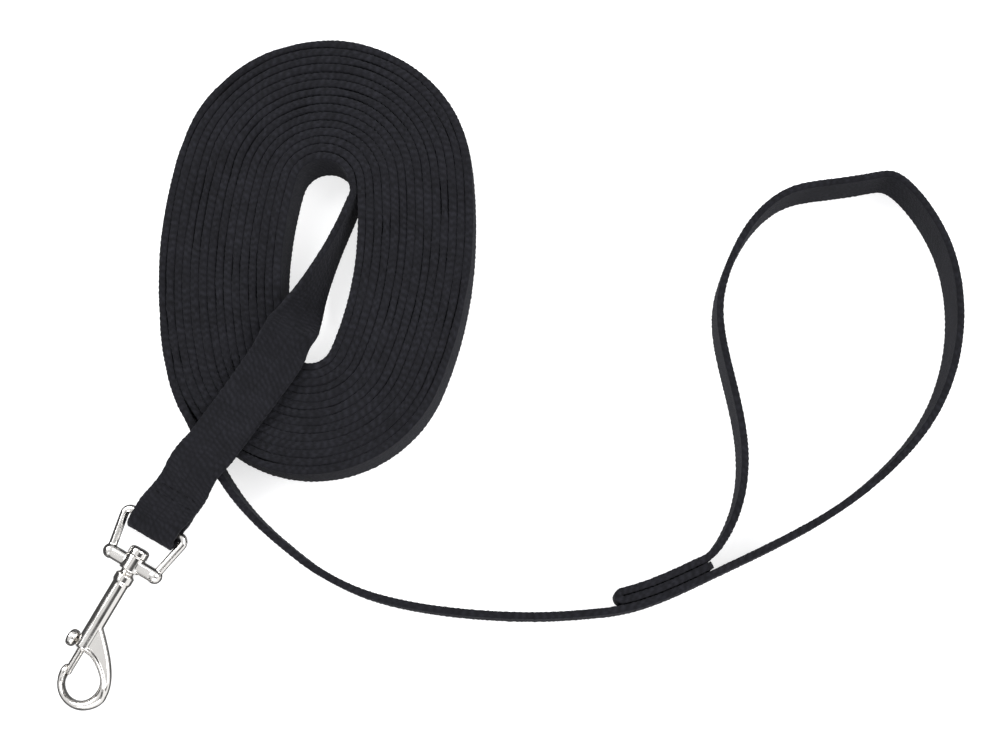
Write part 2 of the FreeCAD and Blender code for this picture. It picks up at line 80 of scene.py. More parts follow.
# Wound turns: how far they drop, swell into each other and part at the top (swell, top and pinch
# are shares of the thickness), and over what lengths
TURN_DROP = 0.8 * MM
TURN_SWELL = 0.28
TURN_TOP = 0.09
TURN_PINCH = 0.45
DROP_LENGTH = 27 * MM
PART_LENGTH = 5.5 * MM
PART_SPREAD = 31 * MM
LOOSE_EASE = 25 * MM

# Mesh: steps along the webbing, points across a face in view and a hidden one, and round an edge
EDGE_STEP = 0.25 * MM
LINE_STEP = 0.3 * MM
FINE_STEP = 0.35 * MM
FACE_FINE = 4 * COLUMNS + 1
FACE_HIDDEN = 3
EDGE_POINTS = 8

# Pieces: how much of the coil shows its faces at the centre and at the rim, and how far before its
# hinge the lead and the snap end each begin
CORE_LENGTH = 150 * MM
RIM_LENGTH = 360 * MM
LEAD_OVERLAP = 30 * MM
STRAP_OVERLAP = 16 * MM

# Sewing: the thread's radius, and how far a stitch stands off the cloth here and in the model
THREAD = 0.2 * MM
THREAD_PROUD = 0.05 * MM
CAD_THREAD_PROUD = 0.3 * MM
THREAD_SIDES = 8
STITCH_POINTS = 32

# Surfaces: the pitch of a yarn's plies along and round the webbing, how deep each surface's fine
# relief is, and how near a wall the metal is darkened with painted shade and made rougher
PLY_ALONG = 0.55 * MM
PLY_ROUND = 0.42 * MM
YARN_DEPTH = 0.22 * MM
THREAD_DEPTH = 0.06 * MM
CAST_DEPTH = 0.02 * MM
HOLLOW_REACH = 1.2 * MM
SNAP_LIES_AT = math.radians(-29)
NICKEL_TINT = (0.88, 0.86, 0.835)
STEEL_TINT = (0.55, 0.55, 0.56)

# Crossing, from the coil's inner end to its rim: x, y, z in millimetres, and the turn from on
# edge (0) to flat (90 degrees)
CROSSING = [
    (10.0, 17.5, 7.98, 0.0), (7.6, 11.4, 8.1, 0.0), (3.9, 2.6, 8.4, 3.0), (0.5, -5.6, 9.5, 11.0),
    (-2.5, -13.4, 11.6, 23.0), (-4.9, -20.8, 15.6, 40.0), (-7.1, -26.8, 20.2, 58.0),
    (-10.2, -32.9, 19.3, 79.0), (-15.0, -39.7, 18.2, 85.0), (-20.6, -47.4, 17.3, 90.0),
    (-26.0, -55.0, 17.2, 90.0),
]

# Snap end, in the axes of the eye's bar: the strap comes off the rim, goes round the bar and back
STRAP_SKEW = math.radians(12.5)
SKEW_EASE = 4.0 * MM
FOLD_ASIDE = 0.3 * MM
LIFT_AT = 24.0 * MM
RAMP_DRIFT = 1.1 * MM
RAMP_TOP = 20.7 * MM
RAMP_FOOT = 0.5 * MM
RAMP_LEAD_IN = 6 * MM
RAMP_EASE = 0.15
RAMP_POINTS = 120
FOLD_AT = 1.2 * MM
FOLD_RADIUS = 2.7 * MM
FOLD_POINTS = 40
TAIL_LENGTH = 13.0 * MM
TAIL_POINTS = 60
TAIL_CLOSES = 8.0 * MM
TAIL_GAP = 0.15 * MM
TAIL_TUCK = 0.6 * MM

# Where the crossing joins on: the straight bit before the twist, and how the strap's width turns
# into the bar's direction before the snap end begins
TWIST_LEAD_IN = 3 * MM
CROSSING_ROUNDS = 20
TURN_ROUNDS = 200
SKEW_BEFORE = 22 * MM
SKEW_OVER = 20 * MM

# Castings: (node, name, voxel in millimetres, rounds of smoothing, body)
CASTINGS = (("swivel_eye", "eye_casting", 0.14, 14, "eye"),
            ("snap_body", "snap_casting", 0.14, 9, "snap"),
            ("swivel_rivet", "rivet", 0.12, 2, "snap"))

# Camera: a little right of the coil's middle, almost straight above the leash
CAMERA_AT = Vector((69.7, -131.5, 446.8)) * MM
CAMERA_LOOKS_AT = Vector((54.8, -35.0, 0.0)) * MM
CAMERA_LENS = 54.0

# What bright metal mirrors: softboxes and the dark room between them, in a circle that goes from
# straight below (0) over the left (0.25) and overhead (0.5) to the right (0.75): (turn, brightness)
STUDIO = [(0.0, 0.12), (0.05, 0.1), (0.1, 0.3), (0.16, 0.06), (0.35, 0.05), (0.39, 0.66),
          (0.44, 0.7), (0.52, 0.82), (0.545, 0.3), (0.56, 0.04), (0.65, 0.06), (0.68, 1.0),
          (0.81, 1.0), (0.84, 0.06), (0.97, 0.12)]
STUDIO_ACROSS = (0.87, -0.49, 0.0)
STUDIO_WARP = 0.2
ROOM_LIGHT = (0.76, 0.77, 0.8, 1.0)

# Lamps: (name, place, target, size, power)
LAMPS = (("key", (-0.5, 0.55, 0.9), (0.03, -0.02, 0), (0.9, 0.7), 13.0),
         ("fill", (0.8, 0.1, 0.8), (0.05, -0.03, 0), (0.8, 0.8), 9.0),
         ("front", (0.0, -0.9, 0.6), (0.03, -0.03, 0), (0.9, 0.5), 6.0))

# Floor: half its side, and how far it lies below the webbing
FLOOR_HALF = 2.5
FLOOR_DROP = 0.05 * MM


# ---------------------------------------------------------------- small helpers

def joint(name):
    return next(j for j in frame["joints"] if j["name"] == name)


def unit(vectors):
    return vectors / np.linalg.norm(vectors, axis=-1, keepdims=True)


def smoothstep(t):
    t = np.clip(t, 0.0, 1.0)
    return t * t * (3 - 2 * t)


def lengths_along(points):
    steps = np.linalg.norm(np.diff(points, axis=0), axis=1)
    return np.concatenate([[0.0], np.cumsum(steps)])


def resample(points, step):
    """The same line in even steps."""
    along = lengths_along(points)
    count = int(math.ceil(along[-1] / step)) + 1
    at = np.linspace(0.0, along[-1], count)
    return np.stack([np.interp(at, along, points[:, k]) for k in range(points.shape[1])], axis=1)


def relax(points, rounds):
    """Takes the corners off a line and keeps its two ends."""
    points = points.copy()
    for _ in range(rounds):
        points[1:-1] = (points[:-2] + 2 * points[1:-1] + points[2:]) / 4
    return points


def through(points, step):
    """A smooth line through a few points (Catmull-Rom), in even steps."""
    points = np.asarray(points, float)
    padded = np.vstack([2 * points[0] - points[1], points, 2 * points[-1] - points[-2]])
    t = np.linspace(0.0, 1.0, 24, endpoint=False)[:, None]
    pieces = []
    for a, b, c, d in zip(padded, padded[1:], padded[2:], padded[3:]):
        pieces.append(0.5 * (2 * b + (c - a) * t + (2 * a - 5 * b + 4 * c - d) * t ** 2
                             + (3 * b - a - 3 * c + d) * t ** 3))
    return resample(np.vstack([*pieces, points[-1:]]), step)


def new_object(name, data):
    piece = bpy.data.objects.new(name, data)
    bpy.context.scene.collection.objects.link(piece)
    return piece


# ---------------------------------------------------------------- the webbing's line

def top_outline(node):
    """The outline of a standing web's top face, counter-clockwise, as plan points."""
    mesh = frame["nodes"][node].data
    co = np.array([v.co for v in mesh.vertices])
    level = co[:, 2].max() - 0.01 * MM
    follows = {}
    for face in mesh.polygons:
        if all(co[i][2] > level for i in face.vertices):
            keys = [tuple(np.round(co[i][:2], 7)) for i in face.vertices]
            for a, b in zip(keys, keys[1:] + keys[:1]):
                follows.setdefault(a, set()).add(b)
    border = {a: b for a, nexts in follows.items() for b in nexts if a not in follows.get(b, ())}
    start = next(iter(border))
    loop = [start]
    while border[loop[-1]] != start:
        loop.append(border[loop[-1]])
    return np.array(loop)


def web_line(node, near):
    """The middle line of a standing web, as plan points from its end nearest to a place."""
    loop = top_outline(node)
    ahead = np.roll(loop, -1, axis=0) - loop
    angle = np.unwrap(np.arctan2(ahead[:, 1], ahead[:, 0]))
    turn = np.degrees((angle - np.roll(angle, 1) + math.pi) % (2 * math.pi) - math.pi)
    square = turn > 60
    ends = [i for i in range(len(loop)) if square[i] and square[(i + 1) % len(loop)]
            and abs(np.linalg.norm(ahead[i]) - WEB_THICK) < 0.1 * WEB_THICK]
    first, second = ends
    one = loop[first + 1:second + 1]
    two = np.vstack([loop[second + 1:], loop[:first + 1]])
    edge = max(one, two, key=lambda line: lengths_along(line)[-1])
    edge = relax(resample(edge, EDGE_STEP), 4)
    along = unit(np.gradient(edge, axis=0))
    inward = np.stack([-along[:, 1], along[:, 0]], axis=1)
    middle = edge + inward * (WEB_THICK / 2)
    if np.linalg.norm(middle[0] - near[:2]) > np.linalg.norm(middle[-1] - near[:2]):
        middle = middle[::-1]
    return middle


def standing_line():
    """The whole standing web: from the coil's inner end out to the hem of the handle."""
    lead_bend = np.array(joint("lead_bend")["pos_m"])
    handle_bend = np.array(joint("handle_bend")["pos_m"])
    coil = web_line("web_coil", np.zeros(2))
    lead = web_line("web_lead_run", lead_bend)
    handle = web_line("web_handle", handle_bend)
    return relax(resample(np.vstack([coil, lead, handle]), LINE_STEP), 6)


class Strip:
    """Cuts through the webbing along its line: middle, across, normal, half width, distance, slip.

    Swell is what its thickness gains, and pinch what the upper edge loses again, both as shares
    of the new webbing's thickness.
    """

    ROWS = ("middle", "across", "normal", "half", "distance", "slip", "swell", "pinch")

    def __init__(self, middle, across, normal, half, distance, slip=0.0):
        none = np.zeros(len(middle))
        self.middle = middle
        self.across = across
        self.normal = normal
        self.half = half + none
        self.distance = distance
        self.slip = slip + none
        self.swell = none
        self.pinch = none

    def part(self, first, last):
        """The cuts from one place to another; neighbouring parts share the cut between them."""
        piece = copy.copy(self)
        for row in self.ROWS:
            setattr(piece, row, getattr(self, row)[first:last + 1])
        return piece

    def nearest(self, place):
        axes = len(place)
        return int(np.argmin(np.linalg.norm(self.middle[:, :axes] - np.asarray(place), axis=1)))

    def step_back(self, index, reach):
        """The cut that lies a reach before (or, if negative, after) another."""
        return int(np.argmin(np.abs(np.abs(self.distance) - abs(self.distance[index]) + reach)))


def standing_strip(line, step):
    """The standing web as cuts, its distance counted from the coil's inner end."""
    plan = resample(line, step)
    middle = np.column_stack([plan, np.full(len(plan), WEB_WIDTH / 2)])
    along = unit(np.gradient(middle, axis=0))
    across = np.broadcast_to(-UP, middle.shape)
    normal = np.cross(across, along)
    return Strip(middle, across, normal, WEB_WIDTH / 2, lengths_along(middle))


def scatter(index, lane):
    """A repeatable random number between 0 and 1 for every whole index and lane."""
    mixed = (index.astype(np.int64) * 73856093) ^ (np.int64(19349663) * (lane + 7))
    mixed = (mixed ^ (mixed >> 13)) * 1274126177 & 0x7FFFFFFF
    return ((mixed ^ (mixed >> 11)) & 0xFFFF) / 65535.0


def wander(distance, wavelength, lane):
    """A slow, repeatable wander between 0 and 1 along each lane of the webbing."""
    at = distance / wavelength
    whole = np.floor(at)
    near = scatter(whole, lane)
    return near + (scatter(whole + 1, lane) - near) * smoothstep(at - whole)


def loosen(strip, last):
    """Makes a wound coil uneven up to a cut: its turns stand lower or part at the top in places."""
    gone = strip.distance
    left = gone[last] - gone
    ends = smoothstep(gone / LOOSE_EASE) * smoothstep(left / LOOSE_EASE)
    drop = TURN_DROP * wander(gone, DROP_LENGTH, 1) ** 2 * ends
    strip.middle = strip.middle - np.outer(drop / 2, UP)
    strip.half = strip.half - drop / 2
    strip.swell = TURN_SWELL * ends
    parting = wander(gone, PART_LENGTH, 2) * wander(gone, PART_SPREAD, 3)
    strip.pinch = (TURN_TOP + TURN_PINCH * parting ** 1.5) * ends


def climb(share):
    """A straight climb from 0 to 1 with its two ends eased."""
    share = np.clip(share, 0.0, 1.0)
    low = np.minimum(share, 1 - share)
    eased = np.where(low < RAMP_EASE, low ** 2 / (2 * RAMP_EASE), low - RAMP_EASE / 2)
    eased = eased / (1 - RAMP_EASE)
    return np.where(share > 0.5, 1 - eased, eased)


def strap_profile(high):
    """The snap end's middle line as (along, height) from the bar: ramp, fold and tail."""
    def main(x):
        share = climb((-x - RAMP_FOOT) / (RAMP_TOP - RAMP_FOOT))
        return np.stack([x, FOLD_RADIUS + (high - FOLD_RADIUS) * share], axis=1)

    ramp = main(np.linspace(-RAMP_TOP - RAMP_LEAD_IN, FOLD_AT, RAMP_POINTS))
    angle = np.linspace(math.pi / 2, -math.pi / 2, FOLD_POINTS)[1:-1]
    fold = np.stack([FOLD_AT + FOLD_RADIUS * np.cos(angle), FOLD_RADIUS * np.sin(angle)], axis=1)
    x = np.linspace(FOLD_AT, -TAIL_LENGTH, TAIL_POINTS)
    top = main(x)
    slope = np.arctan2(np.gradient(top[:, 1]), np.gradient(top[:, 0])) + math.pi
    drop = 2 * FOLD_RADIUS + (WEB_THICK + TAIL_GAP - 2 * FOLD_RADIUS) * smoothstep(-x / TAIL_CLOSES)
    tail = top + np.stack([drop * np.sin(slope), -drop * np.cos(slope)], axis=1)
    return np.vstack([ramp, fold, tail])


def strap_aside(behind):
    """How far the strap has drifted sideways behind the bar, because it meets the bar askew."""
    behind = np.maximum(behind, 0.0)
    eased = np.minimum(behind, SKEW_EASE)
    drift = RAMP_DRIFT * np.sin(math.pi * np.minimum(1.0, behind / LIFT_AT)) ** 2
    run = eased ** 2 / (2 * SKEW_EASE) + behind - eased
    return FOLD_ASIDE + run * math.tan(STRAP_SKEW) + drift


def snap_end_line(bar, across_end, step):
    """The snap end's middle line: up the ramp, round the bar and back along the tail."""
    high = joint("strap_lift")["pos_m"][2] - bar[2]
    profile = resample(strap_profile(high), step)
    tucked = smoothstep((np.arange(len(profile)) - np.argmax(profile[:, 0])) * step / TAIL_LENGTH)
    aside = strap_aside(-profile[:, 0]) - TAIL_TUCK * tucked
    ahead = np.cross(across_end, UP)
    middle = bar + np.outer(profile[:, 0], ahead) + np.outer(aside, across_end)
    middle[:, 2] += profile[:, 1]
    return middle


def crossing_line(line, last, step):
    """The crossing's middle line up to a last point, and its turn from on edge towards flat."""
    start = np.array([*line[0], WEB_WIDTH / 2])
    behind = np.array([*line[8], WEB_WIDTH / 2])
    lead_in = start + unit(start - behind) * TWIST_LEAD_IN
    stations = np.array(CROSSING)
    points = np.vstack([start, lead_in, stations[:, :3] * MM, last])
    turns = np.concatenate([[0.0, 0.0], stations[:, 3], [90.0]])
    middle = relax(through(points, step), CROSSING_ROUNDS)
    at = [np.argmin(np.linalg.norm(middle - p, axis=1)) for p in points]
    turn = np.radians(np.interp(np.arange(len(middle)), at, turns))
    return middle, relax(turn[:, None], TURN_ROUNDS)[:, 0]


def strap_strip(line, step):
    """The crossing and the snap end as cuts, counted backwards from the coil's inner end."""
    bar = np.array(joint("eye_pivot")["pos_m"])
    across_end = -np.array(joint("eye_pivot")["axis"])
    end = snap_end_line(bar, across_end, step)
    cross, turn = crossing_line(line, end[0], step)

    middle = relax(np.vstack([cross[:-1], end]), 4)
    along = unit(np.gradient(middle, axis=0))
    turn = np.concatenate([turn[:-1], np.full(len(end), math.pi / 2)])
    side = unit(np.cross(UP, along))
    across = side * np.sin(turn)[:, None] - UP * np.cos(turn)[:, None]
    distance = lengths_along(middle)
    skewed = smoothstep((distance - distance[len(cross)] + SKEW_BEFORE) / SKEW_OVER)
    across = unit(across * (1 - skewed)[:, None] + across_end * skewed[:, None])
    normal = unit(np.cross(along, across))
    slip = np.einsum("ij,ij->i", across, along)
    half = WEB_WIDTH / 2 / np.sqrt(1 - slip ** 2)
    return Strip(middle, across, normal, half, -distance, slip)


# ---------------------------------------------------------------- webbing as a mesh

def section_profile(per_face, per_edge):
    """Round the web's section: (across, normal), outward, perimeter distance and edge share."""
    flat = WEB_WIDTH / 2 - SELVEDGE
    v = np.linspace(-flat, flat, per_face)
    angle = np.linspace(math.pi / 2, -math.pi / 2, per_edge + 2)[1:-1]
    round_out = np.stack([np.cos(angle), np.sin(angle)], axis=1)
    right = round_out * (SELVEDGE, WEB_THICK / 2) + (flat, 0.0)
    top = np.stack([v, np.full(len(v), WEB_THICK / 2)], axis=1)
    points = np.vstack([top, right, -top, -right])
    out = np.vstack([
        np.tile([0.0, 1.0], (len(top), 1)), round_out,
        np.tile([0.0, -1.0], (len(top), 1)), -round_out,
    ])
    edge = np.concatenate([np.zeros(len(top)), np.cos(angle)] * 2)
    closed = np.vstack([points, points[:1]])
    return points, out, lengths_along(closed), edge


def weave(distance, v, side):
    """The height of the woven yarns, 0 in the crevices and 1 on the floats."""
    column = (v + WEB_WIDTH / 2) / WEB_WIDTH * COLUMNS
    whole = np.floor(column)
    lane = (whole + 20 * (side > 0)).astype(np.int64)
    drift = WEAVE_DRIFT * wander(distance, 2.7 * PICK, lane)
    slant = WEAVE_SLANT * (column - whole)
    turns = distance / PICK + whole * TWILL + drift + slant
    crown = 0.45 + 0.55 * np.sqrt(np.abs(np.sin(math.pi * column)) + 1e-9)
    pick = 0.5 + 0.5 * np.cos(2 * math.pi * turns)
    float_height = 0.4 + 0.6 * scatter(np.floor(turns + 0.5), lane)
    return crown * (0.25 + 0.75 * pick * float_height)


def selvedge(distance, height):
    """The height of the edge's two rows of weft loops, 0 between them and 1 on top."""
    lane = (40 + (height > 0)).astype(np.int64)
    drift = WEAVE_DRIFT * wander(distance, 3.3 * EDGE_PICK, lane)
    turns = distance / EDGE_PICK + 0.5 * (lane % 2) + drift + WEAVE_SLANT * height / WEB_THICK
    loop = 0.5 + 0.5 * np.cos(2 * math.pi * turns)
    return loop * (0.35 + 0.65 * scatter(np.floor(turns + 0.5), lane))


def tube_faces(cuts, points):
    """The faces of a swept section, one row after another, and the two faces that close it."""
    i, j = np.meshgrid(np.arange(cuts - 1), np.arange(points), indexing="ij")
    i, j = i.ravel(), j.ravel()
    after = (j + 1) % points
    near = i * points
    far = near + points
    sides = np.stack([near + j, far + j, far + after, near + after], axis=1)
    last = cuts * points - 1
    ends = [list(range(points)), list(range(last, last - points, -1))]
    return sides.tolist() + ends, i, j


def tube_uv(distance, perimeter, i, j):
    """Distance along the webbing and round its section for every corner of tube_faces."""
    points = len(perimeter) - 1
    along = np.stack([distance[i], distance[i + 1], distance[i + 1], distance[i]], axis=1)
    around = np.stack([perimeter[j], perimeter[j], perimeter[j + 1], perimeter[j + 1]], axis=1)
    sides = np.stack([along.ravel(), around.ravel()], axis=1)
    near = np.stack([np.full(points, distance[0]), perimeter[:points]], axis=1)
    far = np.stack([np.full(points, distance[-1]), perimeter[:points][::-1]], axis=1)
    return np.vstack([sides, near, far])


def web_piece(name, strip, per_face, per_edge):
    """Sweeps the woven section along a strip and closes both ends."""
    points, out, perimeter, edge = section_profile(per_face, per_edge)
    ones = np.ones((len(strip.middle), 1))
    v = points[None, :, 0] * ones
    high = points[None, :, 1] * ones
    round_edge = edge[None, :] * ones
    distance = strip.distance[:, None] + v * strip.slip[:, None]
    on_face = weave(distance, v, out[None, :, 1] * ones)
    height = on_face + (selvedge(distance, high) - on_face) * round_edge
    depth = (height - 1) * (RELIEF + (EDGE_RELIEF - RELIEF) * round_edge)
    upper = smoothstep((-v / WEB_WIDTH - 0.15) / 0.3)
    thick = 1 + strip.swell[:, None] - strip.pinch[:, None] * upper
    aside = v * strip.half[:, None] / (WEB_WIDTH / 2) + out[None, :, 0] * depth
    proud = (high + out[None, :, 1] * depth) * thick
    places = (strip.middle[:, None, :] + aside[..., None] * strip.across[:, None, :]
              + proud[..., None] * strip.normal[:, None, :]).reshape(-1, 3)

    faces, i, j = tube_faces(len(strip.middle), len(points))
    mesh = bpy.data.meshes.new(name)
    mesh.from_pydata(places.tolist(), [], faces)
    uv = tube_uv(strip.distance, perimeter, i, j)
    mesh.uv_layers.new(name="web").data.foreach_set("uv", uv.astype(np.float32).ravel())
    for attribute, values in (("relief", height), ("edge", round_edge)):
        data = mesh.attributes.new(attribute, "FLOAT", "POINT")
        data.data.foreach_set("value", values.astype(np.float32).ravel())
    mesh.update()
    mesh.polygons.foreach_set("use_smooth", [True] * (len(faces) - 2) + [False] * 2)
    return new_object(name, mesh)


# ---------------------------------------------------------------- materials

class Nodes:
    """The node tree of a material or a world, written as short expressions."""

    def __init__(self, owner):
        self.owner = owner
        owner.use_nodes = True
        self.tree = owner.node_tree
        self.tree.nodes.clear()

    def node(self, kind, inputs=None, **settings):
        made = self.tree.nodes.new(kind)
        for key, value in settings.items():
            setattr(made, key, value)
        for key, value in (inputs or {}).items():
            self.feed(made.inputs[key], value)
        return made

    def feed(self, socket, value):
        if isinstance(value, bpy.types.NodeSocket):
            self.tree.links.new(value, socket)
        else:
            socket.default_value = value

    def math(self, operation, *values):
        made = self.tree.nodes.new("ShaderNodeMath")
        made.operation = operation
        for socket, value in zip(made.inputs, values):
            self.feed(socket, value)
        return made.outputs[0]

    def mix(self, factor, a, b):
        made = self.tree.nodes.new("ShaderNodeMix")
        made.data_type = "RGBA"
        self.feed(made.inputs["Factor"], factor)
        self.feed(made.inputs["A"], a)
        self.feed(made.inputs["B"], b)
        return made.outputs["Result"]

    def ramp(self, value, low, high, out_low=0.0, out_high=1.0):
        made = self.node("ShaderNodeMapRange", {"Value": value, "From Min": low, "From Max": high,
                                                "To Min": out_low, "To Max": out_high})
        return made.outputs["Result"]

    def noise(self, vector, scale, detail=2.0, rough=0.5):
        made = self.node("ShaderNodeTexNoise", {"Vector": vector, "Scale": scale, "Detail": detail,
                                                "Roughness": rough})
        return made.outputs["Fac"]

    def attribute(self, name):
        return self.node("ShaderNodeAttribute", attribute_name=name).outputs["Fac"]

    def finish(self, surface, output="ShaderNodeOutputMaterial"):
        self.node(output, {"Surface": surface})
        return self.owner


def gray(value, blue=0.0):
    return (value, value, value * (1 + blue), 1.0)


def webbing_material():
    """Black cotton webbing: floats and crevices of the weave, twisted yarns, fibre fuzz; random
    patches of real tone, with the crevices darkened as painted shade and the rounded edges lightened
    as a painted highlight.
    """
    n = Nodes(bpy.data.materials.new("webbing"))
    uv = n.node("ShaderNodeUVMap", uv_map="web").outputs["UV"]
    split = n.node("ShaderNodeSeparateXYZ", {"Vector": uv})
    s, p = split.outputs["X"], split.outputs["Y"]
    edge = n.attribute("edge")
    height = n.attribute("relief")
    place = n.node("ShaderNodeTexCoord").outputs["Object"]
    # the two plies of each yarn
    plies = n.math("ADD", n.math("DIVIDE", s, PLY_ALONG), n.math("DIVIDE", p, PLY_ROUND))
    twist = n.math("SINE", n.math("MULTIPLY", plies, 2 * math.pi))
    fibre = n.noise(place, 2600.0, 3.0, 0.65)
    patch = n.noise(place, 160.0, 2.0, 0.5)
    wide = n.noise(place, 28.0, 1.0, 0.5)
    relief = n.math("MULTIPLY_ADD", twist, 0.10, n.math("MULTIPLY", height, 0.5))
    relief = n.math("ADD", relief, n.math("MULTIPLY", fibre, 0.55))
    relief = n.math("ADD", relief, n.math("MULTIPLY", patch, 0.25))
    bump = n.node("ShaderNodeBump", {"Height": relief, "Distance": YARN_DEPTH, "Strength": 0.9})
    # painted shade: the weave's crevices are darker and its floats lighter; the fibre and patch
    # noises add real, random tone
    tone_and_painted_light = n.math("ADD", n.math("MULTIPLY", height, 0.8), n.math("MULTIPLY", fibre, 0.45))
    tone_and_painted_light = n.math("ADD", tone_and_painted_light, n.math("MULTIPLY", n.math("SUBTRACT", patch, 0.5), 0.5))
    tone_and_painted_light = n.math("ADD", tone_and_painted_light, n.math("MULTIPLY", n.math("SUBTRACT", wide, 0.5), 0.25))
    # painted highlight: the rounded edges are lighter
    tone_and_painted_light = n.math("MULTIPLY_ADD", edge, 0.1, tone_and_painted_light)
    colour = n.mix(n.ramp(tone_and_painted_light, 0.15, 1.1), gray(0.0035, 0.22), gray(0.0125, 0.27))
    shader = n.node("ShaderNodeBsdfPrincipled", {
        "Base Color": colour, "Roughness": n.ramp(fibre, 0.3, 0.7, 0.78, 0.95),
        "Specular IOR Level": 0.09, "Sheen Weight": 0.045, "Sheen Roughness": 0.5,
        "Sheen Tint": (0.75, 0.76, 0.85, 1.0), "Normal": bump.outputs["Normal"]})
    return n.finish(shader.outputs["BSDF"])


def metal_material(name, tint, roughness, grain):
    """Bright plated metal: faint pitting of the casting, hairline scratches, and hollows that are
    made rougher and darkened with painted shade.
    """
    n = Nodes(bpy.data.materials.new(name))
    place = n.node("ShaderNodeTexCoord").outputs["Object"]
    stretched = n.node("ShaderNodeMapping", {"Vector": place, "Scale": (1.0, 0.12, 1.0),
                                             "Rotation": (0.0, 0.0, SNAP_LIES_AT)})
    hair = n.noise(stretched.outputs["Vector"], 5200.0, 2.0, 0.6)
    cast = n.noise(place, 900.0, 3.0, 0.55)
    cloud = n.noise(place, 130.0, 2.0, 0.5)
    relief = n.math("ADD", n.math("MULTIPLY", hair, 0.25), cast)
    bump = n.node("ShaderNodeBump", {"Height": relief, "Distance": CAST_DEPTH, "Strength": grain})
    # painted shade: where walls hem the metal in, its colour darkens to about a third of the tint;
    # the same mask also makes the hollows rougher
    hollow = n.node("ShaderNodeAmbientOcclusion", {"Distance": HOLLOW_REACH}).outputs["AO"]
    open_to_light = n.ramp(hollow, 0.25, 0.9)
    colour = n.mix(open_to_light, (tint[0] * 0.35, tint[1] * 0.33, tint[2] * 0.30, 1.0), (*tint, 1.0))
    rough = n.math("ADD", n.ramp(cloud, 0.3, 0.7, roughness * 0.7, roughness * 1.5),
                   n.ramp(open_to_light, 0.0, 1.0, 0.15, 0.0))
    shader = n.node("ShaderNodeBsdfPrincipled", {
        "Base Color": colour, "Metallic": 1.0, "Roughness": rough,
        "Normal": bump.outputs["Normal"]})
    return n.finish(shader.outputs["BSDF"])


def thread_material():
    """Black sewing thread: two plies wound round each other, with the grooves between them darkened
    as painted shade.
    """
    n = Nodes(bpy.data.materials.new("thread"))
    place = n.node("ShaderNodeTexCoord").outputs["Object"]
    fibre = n.noise(place, 4200.0, 2.0, 0.6)
    ply = n.node("ShaderNodeTexWave", {"Vector": place, "Scale": 900.0, "Distortion": 1.5},
                 bands_direction="DIAGONAL").outputs["Fac"]
    bump = n.node("ShaderNodeBump", {"Height": n.math("ADD", ply, fibre), "Distance": THREAD_DEPTH})
    # painted shade: darker in the grooves between the plies, lighter on their crests
    colour = n.mix(ply, gray(0.003, 0.2), gray(0.007, 0.2))
    shader = n.node("ShaderNodeBsdfPrincipled", {
        "Base Color": colour, "Roughness": n.ramp(fibre, 0.3, 0.7, 0.5, 0.7),
        "Specular IOR Level": 0.05, "Normal": bump.outputs["Normal"]})
    return n.finish(shader.outputs["BSDF"])


def floor_material():
    """White paper sweep, with the faintest cloudiness; mirrors look through it to the studio."""
    n = Nodes(bpy.data.materials.new("floor"))
    place = n.node("ShaderNodeTexCoord").outputs["Object"]
    cloud = n.noise(place, 6.0, 2.0, 0.5)
    shader = n.node("ShaderNodeBsdfPrincipled", {
        "Base Color": n.mix(cloud, gray(0.52), gray(0.56)), "Roughness": 0.7,
        "Specular IOR Level": 0.1, "Emission Color": gray(1.0), "Emission Strength": 0.66})
    clear = n.node("ShaderNodeBsdfTransparent")
    mirrored = n.node("ShaderNodeLightPath").outputs["Is Glossy Ray"]
    both = n.node("ShaderNodeMixShader", {0: mirrored, 1: shader.outputs["BSDF"],
                                          2: clear.outputs["BSDF"]})
    return n.finish(both.outputs["Shader"])


# ---------------------------------------------------------------- cast metal

def cast_copy(node, name, voxel, rounds, material):
    """A CAD casting with its sharp joints melted into small fillets, standing for the node.

    It is melted at one metre to the millimetre, where the modifiers work finely enough.
    """
    mesh = frame["nodes"][node].data.copy()
    mesh.transform(Matrix.Scale(1 / MM, 4))
    piece = new_object(name, mesh)
    weld = piece.modifiers.new("weld", "WELD")
    weld.merge_threshold = 0.001
    remesh = piece.modifiers.new("remesh", "REMESH")
    remesh.mode = "VOXEL"
    remesh.voxel_size = voxel
    smooth = piece.modifiers.new("smooth", "SMOOTH")
    smooth.factor = 0.5
    smooth.iterations = rounds
    bpy.context.view_layer.update()
    graph = bpy.context.evaluated_depsgraph_get()
    final = bpy.data.meshes.new_from_object(piece.evaluated_get(graph))
    piece.modifiers.clear()
    piece.data = final
    final.transform(Matrix.Scale(MM, 4))
    final.polygons.foreach_set("use_smooth", [True] * len(final.polygons))
    final.materials.clear()
    final.materials.append(material)
    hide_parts(node)
    return piece


# ---------------------------------------------------------------- build

def dress(piece, material, body):
    piece.data.materials.clear()
    piece.data.materials.append(material)
    if body:
        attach(piece, body)


def build_coil(whole, leave, material):
    """The wound turns up to a cut; the middle ones show only their upper edges."""
    core = int(CORE_LENGTH / FINE_STEP)
    rim = leave - int(RIM_LENGTH / FINE_STEP)
    turns = (("webbing_core", 0, core, FACE_FINE), ("webbing_coil", core, rim, FACE_HIDDEN),
             ("webbing_rim", rim, leave, FACE_FINE))
    for name, first, last, per_face in turns:
        piece = web_piece(name, whole.part(first, last), per_face, EDGE_POINTS)
        dress(piece, material, "coil")
        if name == "webbing_coil":
            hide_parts("web_coil")


